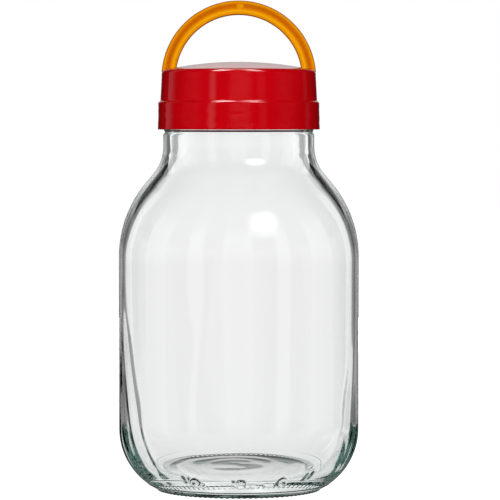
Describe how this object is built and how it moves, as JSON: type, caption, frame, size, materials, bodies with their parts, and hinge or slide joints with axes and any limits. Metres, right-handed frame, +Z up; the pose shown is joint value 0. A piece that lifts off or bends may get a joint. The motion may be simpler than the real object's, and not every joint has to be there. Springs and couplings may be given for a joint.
{
  "type": "glass storage jar with screw cap and carry handle",
  "caption": "Round clear glass jar with a shoulder and a wide threaded mouth, closed by a two-tier red screw cap with a domed top and an upright orange hoop handle",
  "frame": {"origin": "centre of the bearing ring that the jar stands on, which is the middle of the bounding box's bottom", "axes": "+Z up along the jar's axis; X runs across the hoop handle from leg to leg; Y runs through the hoop"},
  "size_m": [0.1492, 0.1492, 0.3042],
  "materials": {
    "clear_glass": "clear soda-lime glass, faintly green where it is thick",
    "red_plastic": "glossy moulded polypropylene, red",
    "orange_plastic": "moulded polypropylene, warm orange-yellow"
  },
  "bodies": {
    "root": {"jar_glass": "clear_glass", "cap": "red_plastic", "handle": "orange_plastic"}
  },
  "joints": []
}
